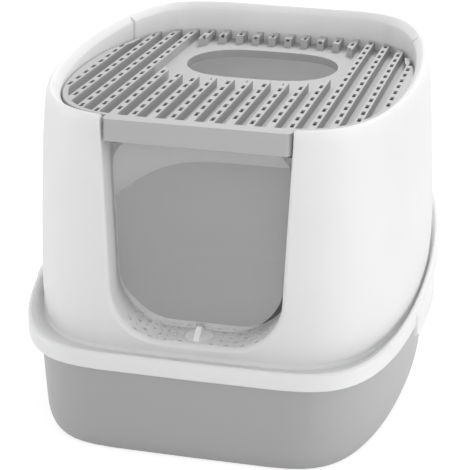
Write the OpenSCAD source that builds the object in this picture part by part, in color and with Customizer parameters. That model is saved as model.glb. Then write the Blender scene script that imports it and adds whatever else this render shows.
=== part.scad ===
/* [Skirt and tray] */
// Width across the hood's skirt
skirt_w = 407; // [380:1:440]
// Length across the hood's skirt
skirt_l = 523; // [490:1:560]
// Height of the skirt's lower edge at the front
skirt_z = 92.4; // [80:0.2:110]
// Rise of the seam between tray and hood from front to back
seam_rise = 38.4; // [20:0.2:46]
// Height of the skirt's face
skirt_h = 17.4; // [16:0.2:19]
// Gap between the tray's rim and the skirt around it
rim_gap = 1; // [0.6:0.1:1.4]
// Wall of the tray and the hood
wall = 2.5; // [2:0.1:3]
// How far the tray's sides stand in from the skirt
tray_set_x = 10.5; // [9:0.5:14]
// How far the tray's ends stand in from the skirt
tray_set_y = 5; // [4.5:0.5:12]
// How far each wall of the tray leans in towards the floor
tray_lean = 4; // [1:0.5:10]
// Height of the rounding between the tray's wall and its floor
tray_round = 26; // [15:1:40]
// Width of the rounding between the tray's wall and its floor
tray_turn = 9; // [4:0.5:16]

/* [Hood] */
// How far the hood's sides stand in from the skirt
hood_set_x = 9; // [8:0.5:14]
// How far the hood's ends stand in from the skirt
hood_set_y = 27.75; // [20:0.25:34]
// Height of the rim's front above the skirt's lower edge
hood_h = 243.8; // [225:0.2:265]
// How far the hood's sides lean in up to the rim
side_lean = 11; // [7:0.5:16]
// How far the hood's back leans in up to the rim
back_lean = 33.5; // [20:0.5:44]
// Rise of the rim from front to back
rim_rise = 7.8; // [0:0.2:15]
// Depth of the rim from its outer to its inner wall
rim_depth = 13; // [11.5:0.5:15]
// How far the grips on the skirt's sides stand out
grip_out = 4; // [2:0.5:7]
// How far the grips reach below the skirt
grip_drop = 11; // [6:0.5:16]

/* [Doorway] */
// How far the doorway reaches past the outer edge of the lid rib above its side
door_over = 3.4; // [1.6:0.1:5]
// How far each side of the doorway leans in down to its bottom corner
door_lean = 7.1; // [4:0.1:10]
// Radius of the doorway's bottom corners
door_r = 50; // [42:1:56]
// Height of the threshold above the skirt's lower edge
sill_rise = 23.6; // [23:0.2:34]
// Depth of the threshold behind the hood's front
sill_depth = 52; // [49:1:60]
// Depth of the doorway's side walls
jamb_depth = 38; // [34:1:44]
// Length of a large drain hole
drain_l = 5.4; // [4.4:0.2:6]
// Width of a large drain hole
drain_w = 4.2; // [3:0.2:5]
// Diameter of a small drain hole
drain_d = 2.2; // [1.6:0.1:2.8]

/* [Lid] */
// Depth of the lid's top below the rim at the front
lid_drop = 2.5; // [1.5:0.1:4]
// Fall of the lid from front to back, for each millimetre of length
lid_slope = 0.0488; // [0.02:0.001:0.06]
// Thickness of the lid from its rib tops to its underside
lid_t = 11.5; // [10:0.5:13]
// Running gap between the lid and the rim around it
lid_gap = 2; // [1.6:0.1:2.6]
// Width of a rib
rib_w = 7.6; // [7:0.1:9]
// Thickness of the lid's skins
lid_skin = 2; // [1.6:0.1:2.2]
// Spacing of the holes along a rib
slot_pitch = 25.4; // [18:0.2:32]
// Length of a hole in a rib
slot_l = 13; // [6:0.1:15]
// Width of a hole in a rib
slot_w = 3.6; // [2.5:0.1:4.2]
// Height of the apron that closes the top of the doorway
apron_h = 21; // [19:0.5:22]
// Gap between the apron's ends and the doorway
apron_gap = 1; // [0.8:0.1:2]
// Length of the recess around the top entry
recess_l = 203; // [190:1:212]
// Width of the top entry
entry_w = 162; // [146:1:172]
// Length of the top entry
entry_l = 132; // [118:1:144]
// Distance of the lid's hinge behind the middle of the box
lid_pivot_y = 107; // [98:1:116]
// Diameter of the lid's hinge pins
lid_pin_d = 5; // [4:0.2:6]

/* [Door and latch] */
// Thickness of the door panel
panel_t = 3; // [2:0.1:4]
// Gap between the door and the doorway beside it
panel_gap = 2.3; // [1.8:0.1:3]
// Gap between the door's lower edge and the threshold
foot_gap = 5; // [3:0.1:6]
// Radius of the door's upper corners
panel_r = 28; // [20:1:34]
// Diameter of the door's pivot rod
rod_d = 5; // [4:0.2:6]
// Diameter of the latch knob
knob_d = 28; // [24:1:30]
// Height of the knob's grip bar
grip_h = 9; // [6:0.5:11]
// Width of the knob's grip bar
grip_w = 5.6; // [4:0.2:6.4]

/* [Hidden] */
side_n = 24;                 // points in a quarter of each outline
run_gap = 0.06;              // radial gap of a pin in its bore
seat_gap = 0.3;              // gap between a resting piece and its seat
// How square the sides and ends of an outline are: behind its middle, then in front of it
tray_sq = [6.5, 1.78, 6.5, 1.78];
skirt_sq = [6.5, 1.78, 6.3, 2.1];
hood_sq = [6, 1.7, 5.2, 2.2];
skirt_a = skirt_w / 2;
skirt_b = skirt_l / 2;
hood_a = skirt_a - hood_set_x;
hood_b = skirt_b - hood_set_y;
front_y = -hood_b;           // the hood's front stands upright from the skirt to the rim
rim_a = hood_a - side_lean;
rim_b = hood_b - back_lean / 2;
rim_y = front_y + rim_b;
rim_z = skirt_z + hood_h;
inner_a = rim_a - rim_depth;
inner_b = rim_b - rim_depth;
seam_slope = seam_rise / skirt_l;
rim_slope = rim_rise / (2 * rim_b);
groove_low = 8.2;            // lowest point of the groove behind the bead, above the skirt's lower edge
groove_top = 10.5;           // where the hood's wall begins
bulge = 3.6;                 // how far the hood's sides swell between skirt and rim
lid_z = rim_z - lid_drop - lid_slope * hood_b;
lid_tilt = atan(lid_slope);

// A point of a rounded outline at angle t
function outline_point(t, a, b, sq) =
    let (c = cos(t), s = sin(t), k = s < 0 ? 2 : 0)
    [a * sign(c) * pow(abs(c), 2 / sq[k]), b * sign(s) * pow(abs(s), 2 / sq[k + 1])];
function outline(a, b, yc, sq) =
    [for (i = [0 : 4 * side_n - 1]) outline_point(i * 90 / side_n, a, b, sq) + [0, yc]];
// One ring of a shell: an outline lifted to height z at y = 0 on a plane that rises with y
function ring(a, b, yc, z, slope, sq) = [for (p = outline(a, b, yc, sq)) [p[0], p[1], z + slope * p[1]]];
function seam_height(h) = skirt_z + h + seam_slope * skirt_b;
function skirt_ring(inset, h) =
    ring(skirt_a - inset, skirt_b - inset, 0, seam_height(h), seam_slope, skirt_sq);
function hood_ring(inset, h) = ring(hood_a - inset, hood_b - inset, 0, seam_height(h), seam_slope, hood_sq);
function rim_ring(inset, h) =
    ring(rim_a - inset, rim_b - inset, rim_y, rim_z + h - rim_slope * front_y, rim_slope, hood_sq);
function well_ring(inset, h) =
    ring(inner_a - inset, inner_b - inset, rim_y, lid_z + h, -lid_slope, hood_sq);
function tray_ring(inset, z) =
    ring(skirt_a - tray_set_x - inset, skirt_b - tray_set_y - inset, 0, z, 0, tray_sq);
function tray_top_ring(inset, h) =
    ring(skirt_a - tray_set_x - inset, skirt_b - tray_set_y - inset, 0, seam_height(h), seam_slope, tray_sq);
function mix(p, q, k) = p * (1 - k) + q * k;
function mix_rings(p, q, k) = [for (i = [0 : len(p) - 1]) mix(p[i], q[i], k)];

// Faces between rings that follow one another; loop joins the last ring to the first
function bands(n, m, loop) =
    [for (j = [0 : m - (loop ? 1 : 2)]) for (i = [0 : n - 1])
        let (a = j * n + i, b = j * n + (i + 1) % n, k = ((j + 1) % m) * n, c = k + (i + 1) % n, d = k + i)
        each [[a, d, c], [a, c, b]]];
function joined(rings) = [for (r = rings) each r];
// A hollow shell whose rings run round its section and close on themselves
module ring_shell(rings) {
    polyhedron(joined(rings), bands(len(rings[0]), len(rings), true), convexity = 8);
}
// A closed shell whose first and last rings are flat ends
module capped_shell(rings) {
    n = len(rings[0]);
    m = len(rings);
    polyhedron(joined(rings), concat(bands(n, m, false), [[for (i = [0 : n - 1]) i]],
        [[for (i = [n - 1 : -1 : 0]) (m - 1) * n + i]]), convexity = 8);
}

// Tray
rim_top = 10.7;              // top of the tray's rim above the skirt's lower edge
rim_foot = 3;                // where the rim stands upright again above its flare
turn_n = 5;
module tray() color("darkgray") {
    turn = [for (i = [0 : turn_n]) let (a = 90 * i / turn_n) [tray_turn * (1 - sin(a)), tray_round * (1 - cos(a))]];
    lip_in = wall + rim_gap;
    capped_shell(concat(
        [for (t = turn) tray_ring(tray_lean + t[0], t[1])],
        [tray_top_ring(0, -rim_foot), skirt_ring(lip_in, rim_foot), skirt_ring(lip_in, rim_top),
         skirt_ring(lip_in + wall, rim_top), skirt_ring(lip_in + wall, rim_foot + 1),
         tray_top_ring(wall, -rim_foot)],
        [for (i = [turn_n : -1 : 0])
            tray_ring(tray_lean + wall + turn[i][0], wall + turn[i][1] * (1 - wall / tray_round))]));
}

// Hood
function groove_ring(k, h) = mix_rings(skirt_ring(2 * wall, h), hood_ring(0, h), k);
// The hood's wall from the skirt (k = 0) to the rim (k = 1)
function wall_ring(inset, k) =
    let (s = bulge * (1 - pow(2 * k - 1, 4)), q = mix_rings(hood_ring(inset, groove_top), rim_ring(inset, -6), k))
    [for (p = q) [p[0] * (1 + s / hood_a), p[1], p[2]]];
wall_steps = [0, 0.08, 0.2, 0.4, 0.6, 0.8, 0.92, 1];
well_low = lid_t + 3.5;      // lower edge of the rim's inner wall below the lid's top

module hood_shell() {
    under = groove_low - wall;
    ring_shell(concat(
        [skirt_ring(0.8, 0), skirt_ring(0, 1), skirt_ring(0, skirt_h - 3.4), skirt_ring(1.2, skirt_h - 1),
         skirt_ring(3.2, skirt_h), skirt_ring(2 * wall, skirt_h - 0.8), groove_ring(0.5, 11),
         groove_ring(0.85, groove_low)],
        [for (k = wall_steps) wall_ring(0, k)],
        [rim_ring(1.2, -1.6), rim_ring(4, 0), rim_ring(6.5, -0.6), rim_ring(rim_depth - 0.7, -6.5),
         rim_ring(rim_depth, -8), well_ring(0, -well_low), well_ring(-wall, -well_low),
         rim_ring(rim_depth - wall, -9.5), rim_ring(wall + 2, -4)],
        [for (k = [1, 0.75, 0.5, 0.25]) wall_ring(wall, k)],
        [hood_ring(wall, under), groove_ring(0.85, under), groove_ring(0.25, rim_top + seat_gap),
         skirt_ring(wall, rim_top + seat_gap), skirt_ring(wall, 0)]));
}

rib_n = 18;
rib_pitch = 2 * inner_a / (rib_n + 0.39);
door_half = 4.5 * rib_pitch + rib_w / 2 + door_over;
low_half = door_half - door_lean;
sill_z = skirt_z + sill_rise;
jamb_top = rim_z + 8;
foot_z = sill_z + door_r;
function edge_x(z) = mix(low_half, door_half, (z - foot_z) / (jamb_top - foot_z));
// The doorway's rounded foot, grown by d, from its right end to its middle
function foot_corner(d) =
    [for (i = [0 : 9]) let (a = 10 * i) [low_half - door_r + (door_r + d) * cos(a), foot_z - (door_r + d) * sin(a)]];
function mirrored(pts) = [for (p = pts) [-p[0], p[1]]];
function reversed(pts) = [for (i = [len(pts) - 1 : -1 : 0]) pts[i]];
// The doorway's outline, grown by d at its foot and by dt at its top
function doorway(d, dt) =
    let (q = foot_corner(d))
    concat([[-door_half - dt, jamb_top]], mirrored(q), reversed(q), [[door_half + dt, jamb_top]]);
// The y of the hood's front wall at a given x and z
function wall_y(x, z) =
    let (k = (z - skirt_z - groove_top) / (rim_z - 6 - skirt_z - groove_top), a = mix(hood_a, rim_a, k))
    mix(0, rim_y, k) - mix(hood_b, rim_b, k) * pow(1 - pow(abs(x) / a, hood_sq[2]), 1 / hood_sq[3]);

edge_foot = 6;               // radius of the doorway's outer edge along its foot
edge_top = 2;                // the same at the rim
edge_cut = 0.75;             // part of that radius where the lining takes over from the hood's wall
// Section of the doorway's lining: growth of the edge, depth behind the front wall, and 1 at its back
function jamb_section(r) =
    concat([[r + 0.5, 0.6, 0], [r + 0.5, 2.2, 0], [wall, r + 2.2, 0], [wall, 0, 1], [0, 0, 1]],
        [for (a = [90 : -15 : 15]) [r * (1 - sin(a)), r * (1 - cos(a)), 0]]);
module jamb() {
    foot = jamb_section(edge_foot);
    top = jamb_section(edge_top);
    edges = [for (j = [0 : len(foot) - 1]) doorway(foot[j][0], top[j][0])];
    last = len(edges[0]) - 1;
    capped_shell([for (i = [0 : last])
        let (k = max(0, min(1, (foot_z - edges[3][i][1]) / (0.7 * door_r))),
             deep = front_y + mix(jamb_depth, sill_depth, k))
        [for (j = [0 : len(foot) - 1])
            let (e = edges[j][i], s = i == 0 || i == last ? top[j] : foot[j])
            [e[0], s[2] == 1 ? deep : wall_y(e[0], min(e[1], rim_z)) + s[1], e[1]]]]);
}
// What the lining keeps at its top: the rim's section in front and the lid's seat behind
module jamb_keep() {
    y0 = wall_y(door_half, rim_z);
    yw = y0 + rim_depth;
    yb = front_y + sill_depth + 1;
    rotate([90, 0, 90])
        translate([0, 0, -door_half - 10])
            linear_extrude(2 * door_half + 20)
                polygon([[y0 - 4, 0], [y0 - 4, rim_z - 6], [y0, rim_z - 6], [y0 + 1.2, rim_z - 1.6],
                    [y0 + 4, rim_z], [y0 + 6.5, rim_z - 0.6], [yw - 0.7, rim_z - 6.5], [yw, rim_z - 8],
                    [yw, seat_z(yw)], [yb, seat_z(yb)], [yb, 0]]);
}
function seat_z(y) = lid_z - lid_slope * y - lid_t / cos(lid_tilt) - seat_gap;
module door_prism(d, dt, y0, y1) {
    translate([0, y1, 0])
        rotate([90, 0, 0])
            linear_extrude(y1 - y0)
                polygon(concat(doorway(d, dt), [[door_half + dt, jamb_top + 20], [-door_half - dt, jamb_top + 20]]));
}

// Threshold and latch seat
drain_pitch = 7.6;
drain_rows = 5;
drain_step = (sill_depth - 16) / (drain_rows - 1);
boss_r = knob_d / 2 + 2.5;
boss_h = 8;
disc_t = 3;
shaft_d = 8;
module lid_frame() translate([0, 0, lid_z]) rotate([-lid_tilt, 0, 0]) children();
// Height and depth of a point of the lid's own frame
function lid_y(y, z) = y * cos(lid_tilt) + z * sin(lid_tilt);
function lid_h(y, z) = lid_z - y * sin(lid_tilt) + z * cos(lid_tilt);

apron_y = front_y + 2.75;
rod_in = 26.5;               // depth of the door's rod behind the apron's face
rod_drop = apron_h + 3.3;    // depth of the door's rod below the lid's top
rod_y = lid_y(apron_y + rod_in, -rod_drop);
rod_z = lid_h(apron_y + rod_in, -rod_drop);
knob_y = rod_y - panel_t / 2 - 4;

module drain_holes() {
    for (j = [0 : drain_rows - 1], i = [-9 : 9]) {
        x = i * drain_pitch;
        y = front_y + 7.5 + j * drain_step;
        if (norm([x, y - knob_y]) > boss_r + 3)
            translate([x, y, sill_z - boss_h])
                if ((i + j) % 2 == 0) scale([drain_l / drain_w, 1, 1]) cylinder(d = drain_w, h = door_r, $fn = 8);
                else cylinder(d = drain_d, h = door_r, $fn = 6);
    }
}

// A grip on one side of the skirt
grip_ends = [-111, -21];
module grip() {
    n = 8;
    capped_shell([for (j = [0 : n])
        let (y = mix(grip_ends[1], grip_ends[0], j / n), out = grip_out * (j == 0 || j == n ? 0.5 : 1),
             x = skirt_a * pow(1 - pow(abs(y) / skirt_b, skirt_sq[3]), 1 / skirt_sq[2]),
             z = seam_height(0) + seam_slope * y)
        [[x - 1.5, y, z - grip_drop], [x + out - 1, y, z - grip_drop], [x + out, y, z - grip_drop + 1.5],
         [x + out, y, z + skirt_h - 8], [x - 0.5, y, z + skirt_h - 4.5], [x - 1.5, y, z + skirt_h - 4.5]]]);
}

// Half the width of the well in which the lid lies, at y behind its middle
function well_x(y) = inner_a * pow(max(0, 1 - pow(abs(y - rim_y) / inner_b, hood_sq[1])), 1 / hood_sq[0]);
lid_open = 60;               // furthest that the lid swings up, in degrees
swing_gap = 1.2;             // gap to the rim while it swings
// Height of the rim's upright inner wall above the lid's hinge
swing_h = rim_z + rim_slope * (lid_pivot_y - front_y) - 6 - lid_h(lid_pivot_y, -lid_t / 2);
// How far behind the hinge the lid's edge at y comes while it's still between the rim's walls
function swing_back(y) =
    let (d = lid_pivot_y - y)
    max([for (a = [0 : 5 : lid_open]) for (h = [-lid_t / 2, lid_t / 2])
        if (a == 0 || d * sin(a) + h * cos(a) < swing_h) h * sin(a) - d * cos(a)]);
// The lid's outline, drawn in by g, and narrow enough beside its hinge to swing up past the rim
function lid_outline(g) =
    [for (p = outline(inner_a - lid_gap - g, inner_b - lid_gap - g, rim_y, hood_sq))
        let (room = well_x(lid_pivot_y + swing_back(p[1])) - swing_gap - g)
        p[1] < rim_y ? p : [sign(p[0]) * min(abs(p[0]), room), p[1]]];
lid_edge_x = well_x(lid_pivot_y + swing_back(lid_pivot_y)) - swing_gap;
pin_out = well_x(lid_pivot_y) - lid_edge_x + wall + 0.4;
ledge_y = -60;
module pin_slot() {
    slot_r = lid_pin_d / 2 + run_gap;
    lid_frame() translate([lid_edge_x - 2, lid_pivot_y, -lid_t / 2]) {
        rotate([0, 90, 0]) cylinder(r = slot_r, h = pin_out + 4, $fn = 48);
        translate([0, -slot_r, 0]) cube([pin_out + 4, 2 * slot_r, 60]);
    }
}
module lid_ledge() {
    lid_frame() translate([inner_a - 7, ledge_y, -lid_t - seat_gap - wall]) cube([8, 14, wall]);
}

module lining() intersection() {
    jamb();
    jamb_keep();
}
module hood() color("white") difference() {
    union() {
        difference() {
            hood_shell();
            door_prism(edge_cut * edge_foot, edge_cut * edge_top, -skirt_b, front_y + 3.6);
            door_prism(wall / 2, wall / 2, -skirt_b, front_y + 40);
            for (s = [0, 1]) mirror([s, 0, 0]) pin_slot();
        }
        for (s = [0, 1]) mirror([s, 0, 0]) {
            grip();
            lid_ledge();
        }
    }
    lining();
}
// The doorway's lining and threshold, which the hood's wall runs into without a gap
module doorway_frame() color("white") difference() {
    union() {
        lining();
        translate([0, knob_y, sill_z - boss_h]) cylinder(r = boss_r, h = boss_h, $fn = 64);
    }
    drain_holes();
    translate([0, knob_y, sill_z - disc_t - seat_gap]) cylinder(r = knob_d / 2 + seat_gap, h = 10, $fn = 64);
    translate([0, knob_y, sill_z - 20]) cylinder(r = shaft_d / 2 + run_gap, h = 30, $fn = 48);
}

// Lid, in its own frame: rib tops at z = 0, hollow from below
apron_half = edge_x(lid_h(apron_y, -apron_h)) - apron_gap;
apron_r = 6;
recess_y = 57;
entry_y = 66;
lip_h = 6;
function apron_shape(g) =
    let (x = apron_half - apron_r, r = apron_r - g,
         q = [for (i = [0 : 6]) let (a = 15 * i) [x + r * cos(a), apron_y + apron_r - r * sin(a)]])
    concat([[-x - r, rim_y]], mirrored(q), reversed(q), [[x + r, rim_y]]);
module lid_shape(g) {
    polygon(lid_outline(g));
    polygon(apron_shape(g));
}
module grooves(g) intersection() {
    for (i = [1 : rib_n - 1])
        translate([(i - rib_n / 2) * rib_pitch - (rib_pitch - rib_w) / 2 - g, -skirt_b])
            square([rib_pitch - rib_w + 2 * g, skirt_l]);
    union() {
        polygon(lid_outline(5 - g));
        translate([-skirt_a, lid_pivot_y]) square([skirt_w, skirt_l]);
    }
}
module recess(g) polygon(outline(5.5 * rib_pitch - rib_w / 2 + g, recess_l / 2 + g, recess_y, [5, 2.2, 5, 2.2]));
module entry(g) polygon(outline(entry_w / 2 + g, entry_l / 2 + g, entry_y, [3.4, 2, 3.4, 2]));
module slots() {
    for (i = [1 : rib_n], k = [-9 : 7]) {
        x = (i - (rib_n + 1) / 2) * rib_pitch;
        y = slot_pitch * (k + (i % 2 == 1 ? 0.6 : 0.1));
        q = y < rim_y ? 2 : 0;
        edge = 1 - pow(abs(x) / (inner_a - lid_gap), hood_sq[q]);
        reach = (inner_b - lid_gap) * pow(edge, 1 / hood_sq[q + 1]) - slot_l / 2 - 3;
        if (abs(y - rim_y) < reach) translate([x - slot_w / 2, y - slot_l / 2]) square([slot_w, slot_l]);
    }
}

module lid() color("gainsboro") lid_frame() {
    difference() {
        translate([0, 0, -lid_t]) linear_extrude(lid_t) lid_shape(0);
        translate([0, 0, lid_skin - lid_t]) linear_extrude(lid_t) {
            grooves(0);
            recess(0);
        }
        translate([0, 0, -lid_t - 1]) linear_extrude(lid_t + 1 - lid_skin) difference() {
            lid_shape(lid_skin);
            grooves(lid_skin);
            recess(lid_skin);
        }
        translate([0, 0, -lid_skin - 1]) linear_extrude(lid_skin + 2) slots();
        translate([0, 0, -2 * lid_t]) linear_extrude(3 * lid_t) entry(0);
    }
    translate([0, 0, -lid_t - lip_h]) linear_extrude(lip_h + 0.5) difference() {
        entry(lid_skin);
        entry(0);
    }
    translate([0, 0, -apron_h]) linear_extrude(apron_h - lid_t + 0.5) difference() {
        polygon(apron_shape(0));
        polygon(apron_shape(lid_skin));
        translate([-skirt_a, apron_y + apron_r]) square([skirt_w, skirt_l]);
    }
    for (s = [0, 1]) mirror([s, 0, 0])
        translate([lid_edge_x - lid_skin - 2, lid_pivot_y, -lid_t / 2])
            rotate([0, 90, 0]) cylinder(d = lid_pin_d, h = lid_skin + 2 + pin_out, $fn = 48);
}

// Swing door with its pivot rod
panel_top = rod_z + 1;
notch_w = grip_w + 3.4;
clip_x = 4.5 * rib_pitch;
rod_half = clip_x + 3.6;
module front_door() color("lightgray") {
    x = edge_x(panel_top - panel_r) - panel_gap - panel_r;
    top = [for (i = [0 : 9]) let (a = 10 * i) [x + panel_r * sin(a), panel_top - panel_r + panel_r * cos(a)]];
    r = door_r + 6;
    foot = [for (i = [0 : 9]) let (a = 10 * i)
        [low_half - panel_gap - r + r * cos(a), sill_z + foot_gap + r - r * sin(a)]];
    side = concat(top, foot);
    translate([0, rod_y + panel_t / 2, 0])
        rotate([90, 0, 0])
            linear_extrude(panel_t)
                difference() {
                    polygon(concat(side, reversed(mirrored(side))));
                    translate([-notch_w / 2, 0]) square([notch_w, sill_z + grip_h + 2.3]);
                }
    translate([-rod_half, rod_y, rod_z]) rotate([0, 90, 0]) cylinder(d = rod_d, h = 2 * rod_half, $fn = 48);
}

clip_w = rib_w - 2 * lid_skin - 0.2;
module clip(s) color("dimgray") lid_frame() translate([s * clip_x, apron_y + rod_in, -rod_drop]) {
    difference() {
        union() {
            translate([-clip_w / 2, 0, 0]) rotate([0, 90, 0]) cylinder(r = rod_d / 2 + 2.5, h = clip_w, $fn = 48);
            translate([-clip_w / 2, -3, 0]) cube([clip_w, 6, rod_drop - lid_skin - 0.1]);
        }
        translate([-clip_w, 0, 0]) rotate([0, 90, 0]) cylinder(r = rod_d / 2 + run_gap, h = 2 * clip_w, $fn = 48);
    }
}
module door_hinge_clip_left() clip(-1);
module door_hinge_clip_right() clip(1);

// Latch
washer_t = 2;
module latch_knob() color("whitesmoke") translate([0, knob_y, sill_z]) {
    translate([0, 0, -disc_t]) cylinder(d = knob_d, h = disc_t, $fn = 64);
    translate([0, 0, -boss_h - seat_gap - washer_t - 1])
        cylinder(d = shaft_d, h = boss_h + seat_gap + washer_t + 1, $fn = 48);
    rotate([90, 0, 90])
        translate([0, 0, -grip_w / 2])
            linear_extrude(grip_w)
                polygon([[2.6, -0.5], [2.6, grip_h], [-1, grip_h], [0.6 - knob_d / 2, 1], [0.6 - knob_d / 2, -0.5]]);
}
module latch_retainer() color("whitesmoke") translate([0, knob_y, sill_z - boss_h - seat_gap - washer_t])
    difference() {
        cylinder(r = shaft_d / 2 + 3, h = washer_t, $fn = 48);
        translate([0, 0, -1]) cylinder(d = shaft_d, h = washer_t + 2, $fn = 48);
    }

tray();
hood();
doorway_frame();
lid();
front_door();
door_hinge_clip_left();
door_hinge_clip_right();
latch_knob();
latch_retainer();
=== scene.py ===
"""Looks of the enclosed two-way litter box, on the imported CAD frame."""
import math

import bpy
from mathutils import Matrix, Vector

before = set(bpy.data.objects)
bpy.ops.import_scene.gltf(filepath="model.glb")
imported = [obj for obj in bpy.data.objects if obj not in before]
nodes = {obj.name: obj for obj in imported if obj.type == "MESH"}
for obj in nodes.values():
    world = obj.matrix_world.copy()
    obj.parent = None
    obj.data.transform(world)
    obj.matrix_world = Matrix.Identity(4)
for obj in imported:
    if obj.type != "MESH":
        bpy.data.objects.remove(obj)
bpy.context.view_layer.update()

# Camera, solved from the photograph: place in metres, angles in degrees
CAMERA_AT = (0.3332, -1.5544, 0.7812)
CAMERA_AZ, CAMERA_EL, CAMERA_ROLL = 12.562, 22.045, 0.820
CAMERA_LENS = 121.79


def make_camera():
    az, el, roll = (math.radians(a) for a in (CAMERA_AZ, CAMERA_EL, CAMERA_ROLL))
    back = Vector((math.sin(az) * math.cos(el), -math.cos(az) * math.cos(el), math.sin(el)))
    right = Vector((math.cos(az), math.sin(az), 0.0))
    up = back.cross(right)
    side = right * math.cos(roll) + up * math.sin(roll)
    top = up * math.cos(roll) - right * math.sin(roll)
    cam = bpy.data.objects.new("camera", bpy.data.cameras.new("camera"))
    cam.data.sensor_width = 36.0
    cam.data.lens = CAMERA_LENS
    cam.data.clip_start, cam.data.clip_end = 0.05, 30.0
    turn = Matrix((side, top, back)).transposed().to_4x4()
    cam.matrix_world = Matrix.Translation(CAMERA_AT) @ turn
    bpy.context.scene.collection.objects.link(cam)
    bpy.context.scene.camera = cam


# Colours of the plastics, as linear red, green and blue
WHITE = (0.87, 0.87, 0.873)
LATCH_WHITE = (0.80, 0.80, 0.80)
LID_GREY = (0.40, 0.40, 0.40)
TRAY_GREY = (0.36, 0.36, 0.363)
DARK = (0.045, 0.045, 0.048)
SMOKE = (0.8, 0.8, 0.8)
SMOKE_CLEAR = (0.97, 0.97, 0.97)
# Share of light that passes through the hood's wall, and straight through the door
HOOD_GLOW = 0.3
DOOR_CLEAR = 0.75
# How far a plastic's roughness wanders below and above its own value
GLOSS_BELOW, GLOSS_ABOVE = 0.05, 0.06
# Faces that meet at under this angle are shaded smooth, and points closer than this are one
SMOOTH_DEGREES = 28
WELD_M = 0.000005


# Materials
def new_material(name):
    mat = bpy.data.materials.new(name)
    mat.use_nodes = True
    tree = mat.node_tree
    tree.nodes.clear()
    out = tree.nodes.new("ShaderNodeOutputMaterial")
    return mat, tree, out


def link(tree, a, out_name, b, in_name):
    tree.links.new(a.outputs[out_name], b.inputs[in_name])


def noise(tree, coords, scale, detail=3.0, rough=0.5):
    node = tree.nodes.new("ShaderNodeTexNoise")
    node.inputs["Scale"].default_value = scale
    node.inputs["Detail"].default_value = detail
    node.inputs["Roughness"].default_value = rough
    link(tree, coords, "Object", node, "Vector")
    return node


def ramp(tree, source, low, high, at=(0.3, 0.7)):
    node = tree.nodes.new("ShaderNodeValToRGB")
    node.color_ramp.elements[0].position, node.color_ramp.elements[1].position = at
    node.color_ramp.elements[0].color = (*low, 1.0)
    node.color_ramp.elements[1].color = (*high, 1.0)
    link(tree, source, "Fac", node, "Fac")
    return node


def moulded(name, colour, rough, grain=0.00002, spread=0.015, glow=0.0):
    """Moulded polypropylene: faint flow mottling, a fine eroded grain and uneven gloss.

    grain is the grain's height in metres, spread the mottling's share of the colour, and
    glow the share of light that passes through the thin wall."""
    mat, tree, out = new_material(name)
    shader = tree.nodes.new("ShaderNodeBsdfPrincipled")
    coords = tree.nodes.new("ShaderNodeTexCoord")
    flow = noise(tree, coords, 9.0, 4.0, 0.6)
    low = tuple(c * (1 - spread) for c in colour)
    high = tuple(min(1.0, c * (1 + spread)) for c in colour)
    tint = ramp(tree, flow, low, high)
    link(tree, tint, "Color", shader, "Base Color")
    wear = noise(tree, coords, 38.0, 5.0, 0.55)
    gloss = tree.nodes.new("ShaderNodeMapRange")
    gloss.inputs["To Min"].default_value = rough - GLOSS_BELOW
    gloss.inputs["To Max"].default_value = rough + GLOSS_ABOVE
    link(tree, wear, "Fac", gloss, "Value")
    link(tree, gloss, "Result", shader, "Roughness")
    fine = noise(tree, coords, 1900.0, 2.0, 0.5)
    bump = tree.nodes.new("ShaderNodeBump")
    bump.inputs["Strength"].default_value = 0.35
    bump.inputs["Distance"].default_value = grain
    link(tree, fine, "Fac", bump, "Height")
    link(tree, bump, "Normal", shader, "Normal")
    shader.inputs["IOR"].default_value = 1.46
    shader.inputs["Specular IOR Level"].default_value = 0.4
    if glow == 0.0:
        link(tree, shader, "BSDF", out, "Surface")
        return mat
    through = tree.nodes.new("ShaderNodeBsdfTranslucent")
    link(tree, tint, "Color", through, "Color")
    mix = tree.nodes.new("ShaderNodeMixShader")
    mix.inputs["Fac"].default_value = glow
    tree.links.new(shader.outputs["BSDF"], mix.inputs[1])
    tree.links.new(through.outputs["BSDF"], mix.inputs[2])
    link(tree, mix, "Shader", out, "Surface")
    return mat


def smoky(name, colour, clear):
    """Smoke-tinted clear panel: part of the light passes straight through, the rest shows a satin skin."""
    mat, tree, out = new_material(name)
    coords = tree.nodes.new("ShaderNodeTexCoord")
    skin = tree.nodes.new("ShaderNodeBsdfPrincipled")
    cloud = noise(tree, coords, 6.0, 3.0, 0.5)
    tint = ramp(tree, cloud, tuple(c * 0.98 for c in colour), tuple(c * 1.02 for c in colour))
    link(tree, tint, "Color", skin, "Base Color")
    skin.inputs["Roughness"].default_value = 0.22
    skin.inputs["IOR"].default_value = 1.5
    skin.inputs["Specular IOR Level"].default_value = 0.35
    bump = tree.nodes.new("ShaderNodeBump")
    bump.inputs["Strength"].default_value = 0.15
    bump.inputs["Distance"].default_value = 0.0001
    link(tree, cloud, "Fac", bump, "Height")
    link(tree, bump, "Normal", skin, "Normal")
    through = tree.nodes.new("ShaderNodeBsdfTransparent")
    through.inputs["Color"].default_value = (*clear, 1.0)
    mix = tree.nodes.new("ShaderNodeMixShader")
    mix.inputs["Fac"].default_value = DOOR_CLEAR
    tree.links.new(skin.outputs["BSDF"], mix.inputs[1])
    tree.links.new(through.outputs["BSDF"], mix.inputs[2])
    link(tree, mix, "Shader", out, "Surface")
    return mat


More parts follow.
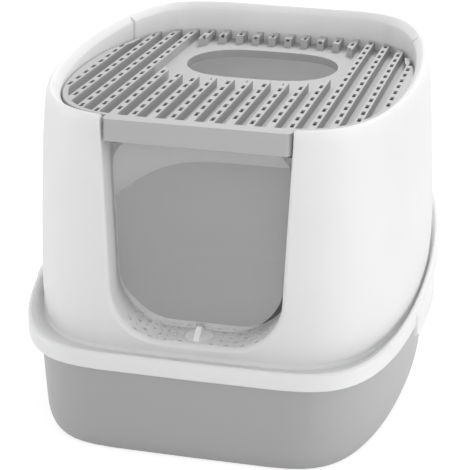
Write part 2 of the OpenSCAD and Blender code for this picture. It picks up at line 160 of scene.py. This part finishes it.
def dress():
    """Gives each CAD node its plastic."""
    looks = {
        "hood": moulded("white moulded plastic", WHITE, 0.42, glow=HOOD_GLOW),
        "tray": moulded("grey moulded plastic", TRAY_GREY, 0.45),
        "lid": moulded("lid plastic", LID_GREY, 0.48),
        "front_door": smoky("smoke clear plastic", SMOKE, SMOKE_CLEAR),
        "door_hinge_clip_left": moulded("dark clip plastic", DARK, 0.4),
        "latch_knob": moulded("white latch plastic", LATCH_WHITE, 0.38),
    }
    looks["doorway_frame"] = looks["hood"]
    looks["door_hinge_clip_right"] = looks["door_hinge_clip_left"]
    looks["latch_retainer"] = looks["latch_knob"]
    for name, obj in nodes.items():
        obj.data.materials.clear()
        obj.data.materials.append(looks[name])


# Shading
def smooth_group():
    """Geometry nodes that join points in one place and shade faces smooth where they meet flatly."""
    tree = bpy.data.node_groups.new("smooth by angle", "GeometryNodeTree")
    for way in ("INPUT", "OUTPUT"):
        tree.interface.new_socket("Geometry", in_out=way, socket_type="NodeSocketGeometry")
    start, end = tree.nodes.new("NodeGroupInput"), tree.nodes.new("NodeGroupOutput")
    plain = tree.nodes.new("GeometryNodeRemoveAttribute")
    plain.inputs["Name"].default_value = "custom_normal"
    weld = tree.nodes.new("GeometryNodeMergeByDistance")
    weld.inputs["Distance"].default_value = WELD_M
    faces = tree.nodes.new("GeometryNodeSetShadeSmooth")
    faces.domain = "FACE"
    angle = tree.nodes.new("GeometryNodeInputMeshEdgeAngle")
    sharp = tree.nodes.new("FunctionNodeCompare")
    sharp.operation = "GREATER_THAN"
    sharp.inputs["B"].default_value = math.radians(SMOOTH_DEGREES)
    edges = tree.nodes.new("GeometryNodeSetShadeSmooth")
    edges.domain = "EDGE"
    edges.inputs["Shade Smooth"].default_value = False
    link(tree, start, "Geometry", plain, "Geometry")
    link(tree, plain, "Geometry", weld, "Geometry")
    link(tree, weld, "Geometry", faces, "Geometry")
    link(tree, faces, "Geometry", edges, "Geometry")
    link(tree, angle, "Unsigned Angle", sharp, "A")
    link(tree, sharp, "Result", edges, "Selection")
    link(tree, edges, "Geometry", end, "Geometry")
    return tree


def smooth():
    """Hides the facets of the CAD nodes by shading."""
    group = smooth_group()
    for obj in nodes.values():
        obj.modifiers.new("smooth", "NODES").node_group = group


# Studio
WORLD_LEVEL = 0.74
MIDDLE = (0.0, 0.0, 0.2)
# Name, place and diameter in metres, and power in watts of each lamp
LAMPS = [
    ("back", (0.2, 1.9, 2.3), 1.2, 52.0),
    ("right", (2.6, -0.5, 0.6), 1.2, 24.0),
    ("left", (-2.6, -0.6, 0.6), 1.2, 14.0),
    ("front", (0.2, -2.7, 1.1), 1.4, 12.0),
]
# Half the floor's side in metres, what it throws back, and its glow and tone where it is seen
FLOOR_HALF = 6.0
FLOOR_BOUNCE, FLOOR_GLOW, FLOOR_SHADE = 0.8, 0.72, 0.42


def is_seen(tree):
    """1 where the camera, a mirror or glass sees the backdrop."""
    path = tree.nodes.new("ShaderNodeLightPath")
    first = tree.nodes.new("ShaderNodeMath")
    first.operation = "MAXIMUM"
    link(tree, path, "Is Camera Ray", first, 0)
    link(tree, path, "Is Glossy Ray", first, 1)
    both = tree.nodes.new("ShaderNodeMath")
    both.operation = "MAXIMUM"
    link(tree, first, 0, both, 0)
    link(tree, path, "Is Transmission Ray", both, 1)
    return both


def plain_light(tree, kind, strength):
    node = tree.nodes.new(kind)
    node.inputs["Color"].default_value = (1.0, 1.0, 1.0, 1.0)
    node.inputs["Strength"].default_value = strength
    return node


def plain_diffuse(tree, level):
    node = tree.nodes.new("ShaderNodeBsdfDiffuse")
    node.inputs["Color"].default_value = (level, level, level, 1.0)
    return node


def make_world(level):
    """White where it is seen, and light of this level where it lights the object."""
    world = bpy.data.worlds.new("studio")
    world.use_nodes = True
    bpy.context.scene.world = world
    tree = world.node_tree
    tree.nodes.clear()
    out = tree.nodes.new("ShaderNodeOutputWorld")
    soft = plain_light(tree, "ShaderNodeBackground", level)
    white = plain_light(tree, "ShaderNodeBackground", 1.0)
    mix = tree.nodes.new("ShaderNodeMixShader")
    seen = is_seen(tree)
    link(tree, seen, 0, mix, "Fac")
    tree.links.new(soft.outputs["Background"], mix.inputs[1])
    tree.links.new(white.outputs["Background"], mix.inputs[2])
    link(tree, mix, "Shader", out, "Surface")


def area_light(name, at, aim, size, watts):
    data = bpy.data.lights.new(name, "AREA")
    data.shape = "DISK"
    data.size = size
    data.energy = watts
    obj = bpy.data.objects.new(name, data)
    obj.location = at
    obj.rotation_mode = "QUATERNION"
    obj.rotation_quaternion = (Vector(aim) - Vector(at)).to_track_quat("-Z", "Y")
    bpy.context.scene.collection.objects.link(obj)


def make_floor():
    """A pale floor that looks white but for the object's shadow."""
    corners = [(-FLOOR_HALF, -FLOOR_HALF, 0), (FLOOR_HALF, -FLOOR_HALF, 0),
               (FLOOR_HALF, FLOOR_HALF, 0), (-FLOOR_HALF, FLOOR_HALF, 0)]
    mesh = bpy.data.meshes.new("floor")
    mesh.from_pydata(corners, [], [(0, 1, 2, 3)])
    floor = bpy.data.objects.new("floor", mesh)
    bpy.context.scene.collection.objects.link(floor)
    mat, tree, out = new_material("pale floor")
    diffuse = plain_diffuse(tree, FLOOR_BOUNCE)
    glow = plain_light(tree, "ShaderNodeEmission", FLOOR_GLOW)
    dark = plain_diffuse(tree, FLOOR_SHADE)
    lit = tree.nodes.new("ShaderNodeAddShader")
    link(tree, glow, "Emission", lit, 0)
    link(tree, dark, "BSDF", lit, 1)
    mix = tree.nodes.new("ShaderNodeMixShader")
    seen = is_seen(tree)
    link(tree, seen, 0, mix, "Fac")
    tree.links.new(diffuse.outputs["BSDF"], mix.inputs[1])
    tree.links.new(lit.outputs["Shader"], mix.inputs[2])
    link(tree, mix, "Shader", out, "Surface")
    mesh.materials.append(mat)


def make_studio():
    make_world(WORLD_LEVEL)
    for name, at, size, watts in LAMPS:
        area_light(name, at, MIDDLE, size, watts)
    make_floor()


bpy.context.scene.view_settings.view_transform = "Standard"
make_camera()
dress()
smooth()
make_studio()
